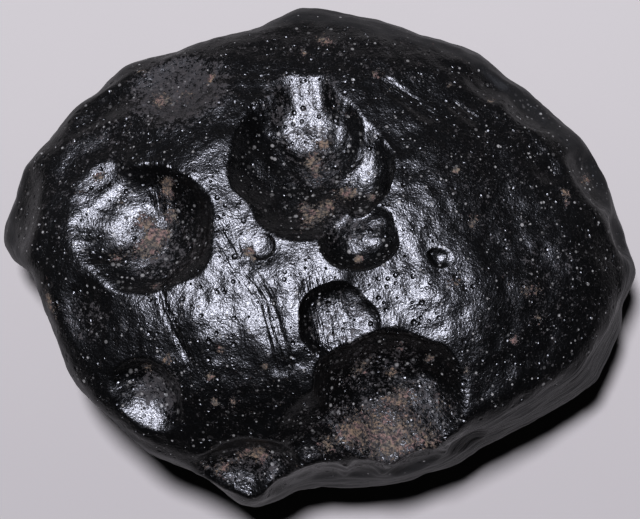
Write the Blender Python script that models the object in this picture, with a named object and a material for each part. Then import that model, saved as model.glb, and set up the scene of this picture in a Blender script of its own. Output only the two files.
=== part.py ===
"""Indochinite tektite: a lump of black natural glass with bubble pits and corroded flanks.

The stone lies on its flattest patch, longest way along X.  A cube divided into a fine grid is
blown up to a ball, the ball is moved out to the stone's plan outline and domed profile, and each
point is then drawn in toward the heart of the stone where a flat, a pit or a scallop cuts it.
"""

from collections import namedtuple

import bmesh
import bpy
import numpy as np

MM = 0.001

# Overall form, mm
HEIGHT = 20.0  # height of the crown before the dome is slanted
HEART = 8.8  # height of the widest girth, and of the point the cuts are drawn toward
TOP_SHAPE = 1.8  # superellipse power of the upper profile: 2 is round, larger is flatter
BASE_SHAPE = 2.55
REST_CUT = 0.3  # how much of the rounded underside the resting flat takes away
LUMP = 0.22  # height of the slow swells over the whole surface
DOME_SPREAD = 3.5  # how far past the outline the dome would run if no wall cut it, mm
DOME_SLANT = (0.03, 0.21)  # how much the dome drops toward +X and +Y for each mm
WALL_RIM = 1.1  # mm over which the dome rounds into the wall
WANDER = 0.1  # how far the rims of the pits wander from true ovals
SEED = 7

# Mesh
GRID = 84  # divisions along each edge of the first cube
UPWARD = 0.35  # how far the grid is drawn up, for finer faces on the pitted upper side
TRIANGLES = 9700
HALVINGS = 16  # steps in finding where a ray meets a pit
SNAP = 0.15  # points this close to the resting flat are drawn onto it, mm
TOUCH = 1e-4  # points this close to a plane count as on it, mm

# Plan outline at the girth, mm, counter-clockwise from the right-hand end
OUTLINE = (
    (23.5, -0.9), (22.8, 1.3), (22.0, 3.4), (21.6, 5.9), (20.7, 7.4), (19.5, 9.2),
    (17.8, 10.4), (15.9, 11.9), (13.7, 13.4), (12.2, 14.8), (10.1, 15.6), (7.6, 16.3),
    (4.7, 17.3), (2.0, 17.9), (-1.0, 18.3), (-2.5, 17.6), (-4.0, 16.8), (-5.5, 16.4),
    (-8.2, 15.7), (-10.2, 14.9), (-13.8, 14.0), (-15.9, 12.0), (-17.6, 10.9), (-18.3, 10.1),
    (-19.5, 8.5), (-20.9, 6.9), (-21.6, 5.6), (-22.0, 4.2), (-22.7, 2.7), (-23.0, 1.2),
    (-22.0, -0.4), (-20.9, -1.0), (-20.5, -1.8), (-20.0, -3.3), (-19.5, -4.7), (-18.7, -6.6),
    (-18.2, -8.0), (-17.4, -9.5), (-16.2, -10.6), (-14.4, -11.9), (-12.9, -13.6),
    (-11.4, -14.6), (-9.0, -15.3), (-7.9, -15.9), (-6.7, -17.1), (-5.5, -18.2), (-4.3, -18.4),
    (-3.1, -17.9), (-1.3, -17.1), (0.4, -16.8), (3.4, -16.8), (6.4, -16.5), (8.2, -15.9),
    (10.0, -15.3), (12.4, -13.9), (14.4, -12.8), (16.3, -11.9), (18.3, -10.7), (20.7, -9.0),
    (21.5, -7.4), (22.4, -5.1), (22.5, -3.5), (23.2, -2.1),
)

# Steep wall above the girth: its width seen from straight above, mm, at bearings in degrees
WALL = (
    (0, 0.8), (10, 1.0), (19, 1.8), (30, 1.7), (45, 1.2), (60, 0.8), (75, 1.1), (90, 1.1),
    (102, 0.4), (120, 0.1), (160, 0.1), (170, 0.6), (178, 1.0), (188, 0.5), (215, 0.4),
    (240, 0.15), (255, 0.2), (265, 1.0), (285, 1.5), (300, 1.4), (312, 1.9), (330, 2.2),
    (340, 1.7), (350, 0.6),
)

# Broad flats across the lump: bearing and upward slope of the way each one faces, in degrees, its
# distance from the heart in mm, and the mm over which it rounds into the surface beside it
Flat = namedtuple("Flat", "bearing rise reach rim", defaults=(0.9,))
FLATS = (
    Flat(-160, 62, 15.2, 1.6),
    Flat(134, 58, 14.0),
    Flat(80, 52, 14.4),
    Flat(-105, 60, 14.3, 2.2),
    Flat(-98, -34, 15.2),
    Flat(38, -32, 17.2),
    Flat(112, -42, 13.5),
    Flat(176, -36, 18.7),
    Flat(-32, -42, 17.1),
)

# Pits: the face they open on (a well is sunk upright from the height of the crown), where (plan
# x, y on the top and base; bearing in degrees and height on a side), half length, half width,
# turn of the length in degrees, depth, the part of the full bubble that has been lost above the
# mouth (0 keeps half a bubble), the rounding of the rim, how far the pit leans in plan from
# square to the surface, and the power of its bowl (2 is round, 4 has a flat floor)
Pit = namedtuple(
    "Pit", "face u v length width turn depth lost rim lean power", defaults=((0, 0), 2.4)
)
PITS = (
    # the compound pit at the top: wide bowl, right bowl, lower right bowl, and the deep scoop
    # that opens onto the upper flank
    Pit("top", -1.4, 6.0, 6.3, 5.0, 80, 2.1, 0.50, 0.7, (0.15, 0.25)),
    Pit("top", 2.9, 7.2, 4.0, 2.4, 98, 1.2, 0.55, 0.7, (-0.18, -0.3), 3.0),
    Pit("top", 2.9, 1.9, 3.0, 2.5, 0, 1.2, 0.50, 1.0, (0, -0.12)),
    Pit("well", -0.8, 11.7, 7.0, 3.6, 92, 5.9, 0.40, 0.8, (-0.04, 0.12), 3.0),
    # the two bowls of the left flank, and the one at the lower left
    Pit("top", -12.2, 1.9, 5.1, 4.8, 0, 2.2, 0.50, 0.7, (0.04, 0.1)),
    Pit("top", -16.1, -3.8, 2.6, 2.0, 90, 0.4, 0.65, 0.7, (-0.25, 0)),
    Pit("top", -12.1, -9.8, 2.9, 2.4, -50, 1.3, 0.50, 0.5, (-0.2, 0.25)),
    # the middle bowl and the wide lower right one, with its two side bowls
    Pit("top", 1.9, -4.6, 3.0, 2.6, 0, 0.85, 0.50, 0.7, (-0.22, 0.04), 3.2),
    Pit("top", 4.9, -9.7, 5.4, 5.0, 0, 2.8, 0.50, 0.5),
    Pit("top", 0.0, -12.6, 3.4, 2.4, 70, 1.0, 0.55, 1.0),
    Pit("top", 8.8, -11.0, 1.6, 1.3, 90, 0.7, 0.50, 0.5),
    # the long pit on the lower edge
    Pit("top", -4.8, -15.1, 4.1, 2.3, 10, 1.4, 0.45, 0.5),
    # shallow dishes of the upper left flank
    Pit("top", -9.8, 12.4, 3.7, 2.5, 10, 0.6, 0.75, 0.8),
    Pit("top", -15.4, 10.6, 2.5, 1.4, 30, 0.3, 0.70, 0.8),
    Pit("top", -15.6, 7.3, 3.2, 2.3, 20, 0.35, 0.75, 0.9),
    # dimples
    Pit("top", 8.7, 0.0, 0.7, 0.7, 0, 0.2, 0.50, 0.5),
    Pit("top", -3.9, 0.8, 0.8, 0.8, 0, 0.15, 0.50, 0.6),
    # scallops along the right rim
    Pit("side", 46, 12.2, 1.8, 1.8, 0, 0.5, 0.50, 0.5),
    Pit("side", 35, 11.8, 2.5, 2.0, 0, 0.5, 0.50, 0.5),
    Pit("side", 16, 12.0, 2.8, 2.4, -10, 0.7, 0.50, 0.5),
    Pit("side", 4, 11.6, 1.8, 2.0, 0, 0.5, 0.50, 0.5),
    Pit("top", 17.0, 6.5, 1.7, 1.1, -60, 0.3, 0.50, 0.7),
    # the ledge under the left end, and the scallops of the lower edge
    Pit("side", 173, 13.2, 5.4, 2.4, 0, 0.9, 0.50, 0.7),
    Pit("side", -91, 12.0, 2.8, 2.6, 0, 0.6, 0.50, 0.5),
    Pit("side", -77, 12.6, 1.7, 2.8, 0, 0.7, 0.50, 0.5),
    Pit("side", -65, 12.6, 2.3, 2.8, 0, 0.8, 0.50, 0.5),
    Pit("side", -53, 12.2, 1.5, 2.4, 0, 0.6, 0.50, 0.5),
    # the walls below the girth
    Pit("side", 75, 6.2, 3.4, 2.4, 12, 0.8, 0.55, 0.9),
    Pit("side", 84, 5.0, 2.2, 1.8, 12, 0.9, 0.55, 0.8),
    Pit("side", 108, 7.6, 2.4, 1.8, -20, 0.5, 0.55, 0.8),
    Pit("side", 140, 5.0, 3.6, 2.2, 10, 0.9, 0.55, 0.9),
    Pit("side", -160, 5.4, 2.6, 1.8, 20, 0.7, 0.55, 0.8),
    Pit("side", -127, 5.2, 3.2, 2.1, -10, 0.9, 0.55, 0.9),
    Pit("side", -112, 4.6, 2.2, 2.0, -10, 0.7, 0.55, 0.8),
    Pit("side", -70, 5.4, 3.0, 1.8, 15, 0.6, 0.60, 1.0),
    Pit("side", -38, 4.8, 4.4, 2.3, 8, 0.9, 0.55, 0.9),
    Pit("side", 25, 5.4, 2.8, 2.2, -15, 0.8, 0.55, 0.8),
    Pit("side", -2, 6.2, 2.4, 1.6, 10, 0.5, 0.55, 0.9),
    # the underside, round the resting flat
    Pit("base", 13.4, 1.0, 4.2, 3.0, 60, 1.3, 0.55, 0.9),
    Pit("base", 13.6, 5.2, 2.4, 2.0, 60, 0.9, 0.55, 0.7),
    Pit("base", 5.8, 9.8, 3.4, 2.2, 10, 0.9, 0.55, 0.8),
    Pit("base", -4.6, 10.8, 4.4, 3.0, -10, 1.3, 0.55, 0.9),
    Pit("base", -9.0, 9.2, 2.2, 1.8, 0, 1.0, 0.50, 0.7),
    Pit("base", -13.6, 3.0, 3.2, 2.5, 70, 1.0, 0.55, 0.8),
    Pit("base", -11.2, -6.6, 3.8, 2.8, 35, 1.1, 0.55, 0.8),
    Pit("base", 1.4, -11.6, 3.6, 2.2, 5, 0.9, 0.55, 0.9),
    Pit("base", 5.6, -9.8, 1.8, 1.6, 0, 0.8, 0.50, 0.7),
    Pit("base", 11.0, -7.2, 2.4, 1.9, 40, 0.7, 0.55, 0.8),
)


def ball_mesh():
    bm = bmesh.new()
    bmesh.ops.create_cube(bm, size=2.0)
    bmesh.ops.subdivide_edges(bm, edges=bm.edges[:], cuts=GRID - 1, use_grid_fill=True)
    return bm


def read_points(bm):
    return np.array([vert.co for vert in bm.verts])


def write_points(bm, points):
    for vert, point in zip(bm.verts, points):
        vert.co = point
    bm.normal_update()


def unit(vectors):
    return vectors / np.linalg.norm(vectors, axis=-1, keepdims=True)


def ball_directions(points):
    """Cube grid to an even ball, drawn upward for a finer upper side."""
    spread = unit(np.tan(points * np.pi / 4))
    up = spread[:, 2] + UPWARD * (1 - spread[:, 2] ** 2)
    flat = np.sqrt(np.maximum(1 - up**2, 0))
    plan = spread[:, :2] / np.maximum(np.hypot(spread[:, 0], spread[:, 1]), 1e-9)[:, None]
    return np.column_stack((plan * flat[:, None], up))


def outline_radius(bearing, blur):
    """Plan radius at each bearing, averaged over a fan of the given half width in degrees."""
    knots = np.array(OUTLINE)
    angles = np.arctan2(knots[:, 1], knots[:, 0])
    radii = np.hypot(knots[:, 0], knots[:, 1])
    order = np.argsort(angles)
    total = np.zeros(len(bearing))
    shifts = np.radians(np.linspace(-blur, blur, 9))
    for shift in shifts:
        total += np.interp(bearing + shift, angles[order], radii[order], period=2 * np.pi)
    return total / len(shifts)


def ease(low, high, values):
    part = np.clip((values - low) / (high - low), 0, 1)
    return part * part * (3 - 2 * part)


def domed_reach(ray):
    """How far the smooth lump lies from its heart along each ray, mm: dome, wall and base."""
    level, rise = np.hypot(ray[:, 0], ray[:, 1]), np.abs(ray[:, 2])
    bearing = np.arctan2(ray[:, 1], ray[:, 0])
    rough = 1 - ease(4, 30, np.degrees(np.arctan2(rise, level)))
    fine, soft, broad = (outline_radius(bearing, blur) for blur in (1, 8, 25))
    side = rough * fine + (1 - rough) * soft
    dome_radius = broad + DOME_SPREAD
    width = np.interp(np.degrees(bearing), *np.array(WALL).T, period=360)
    height = HEIGHT - HEART
    crease = height * (1 - ((side - width) / dome_radius) ** TOP_SHAPE) ** (1 / TOP_SHAPE)
    wall = side / (level + rise * width / crease)
    slanted = rise + ray[:, :2] @ np.array(DOME_SLANT)
    top = soft_least(domed(level, slanted, dome_radius, height, TOP_SHAPE), wall, WALL_RIM)
    foot = rough * fine + (1 - rough) * broad
    base = domed(level, rise, foot, HEART + REST_CUT, BASE_SHAPE)
    return np.where(ray[:, 2] > 0, top, base)


def domed(level, rise, radius, height, power):
    return ((level / radius) ** power + np.abs(rise / height) ** power) ** (-1 / power)


def waves(points, seed, shortest, longest):
    """A slow uneven field about one high, from waves crossing in every direction."""
    chance = np.random.default_rng(seed)
    total = np.zeros(len(points))
    for _ in range(14):
        wave = unit(chance.normal(size=3)) * 2 * np.pi / chance.uniform(shortest, longest)
        total += np.sin(points @ wave + chance.uniform(0, 6.28))
    return total / np.sqrt(7)


def soft_least(first, second, blend):
    share = np.clip(0.5 + 0.5 * (second - first) / blend, 0, 1)
    return second * (1 - share) + first * share - blend * share * (1 - share)


def flat_reach(ray, flat):
    bearing, rise = np.radians((flat.bearing, flat.rise))
    face = np.array(
        (np.cos(bearing) * np.cos(rise), np.sin(bearing) * np.cos(rise), np.sin(rise))
    )
    return flat.reach / np.maximum(ray @ face, 0.05)


def mouth_index(points, pit):
    """The point of the smooth lump at the middle of a pit's mouth."""
    if pit.face == "side":
        bearing = np.degrees(np.arctan2(points[:, 1], points[:, 0]))
        turn = (bearing - pit.u + 180) % 360 - 180
        return np.argmin((turn * 0.35) ** 2 + (points[:, 2] + HEART - pit.v) ** 2)
    wrong = points[:, 2] > 0 if pit.face == "base" else points[:, 2] < 0
    apart = (points[:, 0] - pit.u) ** 2 + (points[:, 1] - pit.v) ** 2
    return np.argmin(apart + 1e6 * wrong)


def pit_axes(normal, pit):
    start = np.cross((0, 0, 1), normal) if pit.face == "side" else np.array((1.0, 0, 0))
    first = unit(start - normal * (start @ normal))
    second = np.cross(normal, first)
    turn = np.radians(pit.turn)
    along = first * np.cos(turn) + second * np.sin(turn)
    return np.array((along, np.cross(normal, along), normal))


def near_pit(ray, middle, widest):
    """The rays that could meet the pit's bubble."""
    apart = np.linalg.norm(middle)
    closest = np.sqrt(max(1 - (widest / apart) ** 2, 0))
    return np.flatnonzero(ray @ (middle / apart) > closest)


def pit_reach(ray, pit, mouth, normal):
    """How far each ray from the heart runs before it breaks into the pit's bubble."""
    power = pit.power
    tall = pit.depth / (1 - pit.lost)
    wider = (1 - pit.lost**power) ** (-1 / power)
    sizes = np.array((pit.length * wider, pit.width * wider, tall))
    axes = pit_axes(normal, pit)
    middle = mouth + normal * tall * pit.lost
    entry = np.full(len(ray), 1e3)
    near = near_pit(ray, middle, 1.2 * sizes.max())
    way = (ray[near] @ axes.T) / sizes
    start = (axes @ middle) / sizes

    def inside(along):
        spot = np.abs(way * along[:, None] - start)
        return np.hypot(spot[:, 0], spot[:, 1]) ** power + spot[:, 2] ** power < 1

    high = np.maximum(way @ start, 1e-6) / np.einsum("ij,ij->i", way, way)
    low = np.zeros(len(near))
    hit = inside(high)
    for _ in range(HALVINGS):
        middle_way = (low + high) / 2
        within = inside(middle_way)
        high = np.where(within, middle_way, high)
        low = np.where(within, low, middle_way)
    entry[near[hit]] = high[hit]
    return entry


def lump_reach(ray):
    reach = domed_reach(ray)
    climb = np.degrees(np.arcsin(np.abs(ray[:, 2])))
    reach += ease(0, 25, climb) * LUMP * waves(ray * reach[:, None], SEED, 7, 16)
    for flat in FLATS:
        reach = soft_least(reach, flat_reach(ray, flat), flat.rim)
    return reach


def pit_mouths(bm, ray):
    """Where each pit opens on the lump, and which way the surface faces there."""
    points = ray * lump_reach(ray)[:, None]
    write_points(bm, points)
    found = [mouth_index(points, pit) for pit in PITS]
    bm.verts.ensure_lookup_table()
    mouths = []
    for pit, at in zip(PITS, found):
        mouth, normal = points[at], np.array(bm.verts[at].normal)
        if pit.face == "well":
            mouth, normal = np.array((pit.u, pit.v, HEIGHT - HEART)), np.array((0.0, 0, 1))
        mouths.append((mouth, unit(normal + np.array((*pit.lean, 0)))))
    return mouths


def wandered(points):
    """Points moved a little along the surface, so that no pit is a true oval."""
    shift = [waves(points, SEED + axis, 4, 10) for axis in (1, 2, 3)]
    return points + WANDER * np.column_stack(shift)


def stone_points(ray, mouths):
    reach = lump_reach(ray)
    loose = unit(wandered(ray * reach[:, None]))
    for pit, (mouth, normal) in zip(PITS, mouths):
        reach = soft_least(reach, pit_reach(loose, pit, mouth, normal), pit.rim)
    return ray * reach[:, None]


def soften(bm, passes, pull):
    for _ in range(passes):
        bmesh.ops.smooth_vert(
            bm, verts=bm.verts[:], factor=pull, use_axis_x=True, use_axis_y=True, use_axis_z=True
        )


def even_out(bm, mouths, passes):
    """Spread the points more evenly over the carved surface, a pass at a time."""
    for _ in range(passes):
        soften(bm, 1, 0.5)
        write_points(bm, stone_points(unit(read_points(bm)), mouths))


def glass_material():
    material = bpy.data.materials.new("black tektite glass")
    material.use_nodes = True
    shader = material.node_tree.nodes["Principled BSDF"]
    shader.inputs["Base Color"].default_value = (0.02, 0.02, 0.022, 1)
    shader.inputs["Roughness"].default_value = 0.4
    shader.inputs["Metallic"].default_value = 0.0
    return material


def thin_mesh(stone, bm):
    """Fewer triangles, kept close where the surface bends most."""
    bm.to_mesh(stone.data)
    thin = stone.modifiers.new("thin", "DECIMATE")
    thin.ratio = TRIANGLES / (2 * len(stone.data.polygons))
    bpy.context.view_layer.update()
    thinned = stone.evaluated_get(bpy.context.evaluated_depsgraph_get())
    bm.clear()
    bm.from_mesh(thinned.to_mesh())
    thinned.to_mesh_clear()
    stone.modifiers.clear()


def cut_rest(bm):
    """Cut the resting flat square across the underside."""
    for vert in bm.verts:
        if abs(vert.co.z + HEART) < SNAP:
            vert.co.z = -HEART
    cut = bmesh.ops.bisect_plane(
        bm,
        geom=bm.verts[:] + bm.edges[:] + bm.faces[:],
        dist=TOUCH,
        plane_co=(0, 0, -HEART),
        plane_no=(0, 0, -1),
        clear_outer=True,
    )
    rim = [edge for edge in cut["geom_cut"] if isinstance(edge, bmesh.types.BMEdge)]
    bmesh.ops.holes_fill(bm, edges=rim, sides=0)
    flat = [face for face in bm.faces if max(vert.co.z for vert in face.verts) < TOUCH - HEART]
    patch = bmesh.ops.dissolve_faces(bm, faces=flat, use_verts=True)["region"]
    bmesh.ops.triangulate(bm, faces=patch, ngon_method="BEAUTY")


def set_down(points):
    """Points from the heart, in mm, to metres above the floor and about the middle in plan."""
    low, high = points.min(axis=0), points.max(axis=0)
    foot = (low + high) / 2
    foot[2] = low[2]
    return (points - foot) * MM


def carve_stone(stone):
    bm = ball_mesh()
    ray = ball_directions(read_points(bm))
    mouths = pit_mouths(bm, ray)
    write_points(bm, stone_points(ray, mouths))
    even_out(bm, mouths, 8)
    soften(bm, 4, 0.5)
    thin_mesh(stone, bm)
    soften(bm, 1, 0.25)
    cut_rest(bm)
    write_points(bm, set_down(read_points(bm)))
    bmesh.ops.recalc_face_normals(bm, faces=bm.faces[:])
    bm.to_mesh(stone.data)
    bm.free()


def clear_scene():
    for thing in list(bpy.data.objects):
        bpy.data.objects.remove(thing, do_unlink=True)


clear_scene()
home = bpy.data.collections.new("tektite")
bpy.context.scene.collection.children.link(home)
tektite = bpy.data.objects.new("tektite", bpy.data.meshes.new("tektite"))
tektite.data.materials.append(glass_material())
home.objects.link(tektite)
carve_stone(tektite)
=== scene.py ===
"""Indochinite tektite: a lump of black natural glass, pitted by gas bubbles and etched by soil.

The stone is carved again from the part's own outline, flats and pits, on a finer grid and with
crisper, slightly wandering rims, and is given the pillows and flank ledges of its skin.  Its
material adds the grain, etch pits, grooves and flow bands, and leaves clay, a dull film of soil and
pale grains in the hollows.
"""

import math
from collections import namedtuple

import bmesh
import bpy
import numpy as np
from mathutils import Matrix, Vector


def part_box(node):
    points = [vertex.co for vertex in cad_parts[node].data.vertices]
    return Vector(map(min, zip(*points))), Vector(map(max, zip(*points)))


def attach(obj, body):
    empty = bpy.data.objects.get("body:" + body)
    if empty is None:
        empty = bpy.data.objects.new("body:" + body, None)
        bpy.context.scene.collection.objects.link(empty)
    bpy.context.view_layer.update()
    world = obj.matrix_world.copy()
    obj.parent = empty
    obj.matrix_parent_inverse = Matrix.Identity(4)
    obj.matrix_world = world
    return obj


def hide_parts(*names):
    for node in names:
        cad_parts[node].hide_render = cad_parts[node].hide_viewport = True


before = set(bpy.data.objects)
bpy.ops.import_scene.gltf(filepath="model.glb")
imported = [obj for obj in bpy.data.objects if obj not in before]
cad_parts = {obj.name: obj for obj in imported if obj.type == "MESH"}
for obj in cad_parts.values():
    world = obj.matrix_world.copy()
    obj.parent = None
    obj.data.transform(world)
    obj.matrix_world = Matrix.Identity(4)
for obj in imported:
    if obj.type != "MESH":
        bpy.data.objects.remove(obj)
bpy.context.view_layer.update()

MM = 0.001

# Overall form, mm, as in the part's source
HEIGHT = 20.0  # height of the crown before the dome is slanted
HEART = 8.8  # height of the widest girth, and of the point the cuts are drawn toward
TOP_SHAPE = 1.8  # superellipse power of the upper profile: 2 is round, larger is flatter
BASE_SHAPE = 2.55
REST_CUT = 0.3  # how much of the rounded underside the resting flat takes away
LUMP = 0.22  # height of the slow swells over the whole surface
DOME_SPREAD = 3.5  # how far past the outline the dome would run if no wall cut it, mm
DOME_SLANT = (0.03, 0.21)  # how much the dome drops toward +X and +Y for each mm
WALL_RIM = 1.1  # mm over which the dome rounds into the wall
OUTLINE_BLURS = (1, 8, 25)  # half width, in degrees, of the fan that smooths each outline used
NICK_FADE = (4, 30)  # degrees of climb over which the outline's nicks fade from the surface
SWELL_CLIMB = (0, 25)  # degrees of climb over which the slow swells come in
LUMP_WAVES = (7, 16)  # shortest and longest wave of the slow swells, mm
LEAST_FACING = 0.05  # least cosine between a ray and the way that a flat faces
MM_PER_DEGREE = 0.35  # along the side, for each degree of bearing
BUBBLE_ROOM = 1.2  # how far past its half size a bubble's squarer bowl can reach
HALVINGS = 16  # steps in finding where a ray meets a pit
FAN = 9  # bearings averaged in smoothing the outline
WAVES = 14  # waves crossing in each slow field
PHASES = 6.28  # range of their phases, radians
SEED = 7
FAR = 1e3  # mm, past everything
TINY = 1e-6  # keeps divisors off zero

# Finer carving
GRID = 126  # divisions along each edge of the first cube
UPWARD = 0.4  # how far the grid is drawn up, for finer faces on the pitted upper side
RELAX = 8  # passes that even out the faces
CRISP = 0.8  # the part of each pit's rounded rim that is left
WANDER = 0.16  # how far the rims of the pits wander from true ovals, mm
WANDER_WAVES = (4, 10)  # shortest and longest wave of the wandering, mm
FRAY = 0.065  # how far the rims are frayed at a finer scale, mm
FRAY_WAVES = (1.6, 4)

# Relief of the skin: height, and the shortest and longest wave of it, mm
Ripple = namedtuple("Ripple", "height shortest longest")
PILLOWS = Ripple(0.035, 2.4, 5.0)
LUMPS = Ripple(0.014, 0.9, 1.8)
LEDGES = Ripple(0.02, 0.7, 1.6)
LEDGE_SQUEEZE = (0.22, 0.22, 1.0)  # draws the ledges out level
LEDGE_TILT = (0.05, 0.4)  # 1 less the upward share of the normal, where the ledges come in

# Plan outline at the girth, mm, counter-clockwise from the right-hand end
OUTLINE = (
    (23.5, -0.9), (22.8, 1.3), (22.0, 3.4), (21.6, 5.9), (20.7, 7.4), (19.5, 9.2),
    (17.8, 10.4), (15.9, 11.9), (13.7, 13.4), (12.2, 14.8), (10.1, 15.6), (7.6, 16.3),
    (4.7, 17.3), (2.0, 17.9), (-1.0, 18.3), (-2.5, 17.6), (-4.0, 16.8), (-5.5, 16.4),
    (-8.2, 15.7), (-10.2, 14.9), (-13.8, 14.0), (-15.9, 12.0), (-17.6, 10.9), (-18.3, 10.1),
    (-19.5, 8.5), (-20.9, 6.9), (-21.6, 5.6), (-22.0, 4.2), (-22.7, 2.7), (-23.0, 1.2),
    (-22.0, -0.4), (-20.9, -1.0), (-20.5, -1.8), (-20.0, -3.3), (-19.5, -4.7), (-18.7, -6.6),
    (-18.2, -8.0), (-17.4, -9.5), (-16.2, -10.6), (-14.4, -11.9), (-12.9, -13.6),
    (-11.4, -14.6), (-9.0, -15.3), (-7.9, -15.9), (-6.7, -17.1), (-5.5, -18.2), (-4.3, -18.4),
    (-3.1, -17.9), (-1.3, -17.1), (0.4, -16.8), (3.4, -16.8), (6.4, -16.5), (8.2, -15.9),
    (10.0, -15.3), (12.4, -13.9), (14.4, -12.8), (16.3, -11.9), (18.3, -10.7), (20.7, -9.0),
    (21.5, -7.4), (22.4, -5.1), (22.5, -3.5), (23.2, -2.1),
)

# Steep wall above the girth: its width seen from straight above, mm, at bearings in degrees
WALL = (
    (0, 0.8), (10, 1.0), (19, 1.8), (30, 1.7), (45, 1.2), (60, 0.8), (75, 1.1), (90, 1.1),
    (102, 0.4), (120, 0.1), (160, 0.1), (170, 0.6), (178, 1.0), (188, 0.5), (215, 0.4),
    (240, 0.15), (255, 0.2), (265, 1.0), (285, 1.5), (300, 1.4), (312, 1.9), (330, 2.2),
    (340, 1.7), (350, 0.6),
)

# Broad flats across the lump: bearing and upward slope of the way each one faces, in degrees, its
# distance from the heart in mm, and the mm over which it rounds into the surface beside it
Flat = namedtuple("Flat", "bearing rise reach rim", defaults=(0.9,))
FLATS = (
    Flat(-160, 62, 15.2, 1.6),
    Flat(134, 58, 14.0),
    Flat(80, 52, 14.4),
    Flat(-105, 60, 14.3, 2.2),
    Flat(-98, -34, 15.2),
    Flat(38, -32, 17.2),
    Flat(112, -42, 13.5),
    Flat(176, -36, 18.7),
    Flat(-32, -42, 17.1),
)

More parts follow.
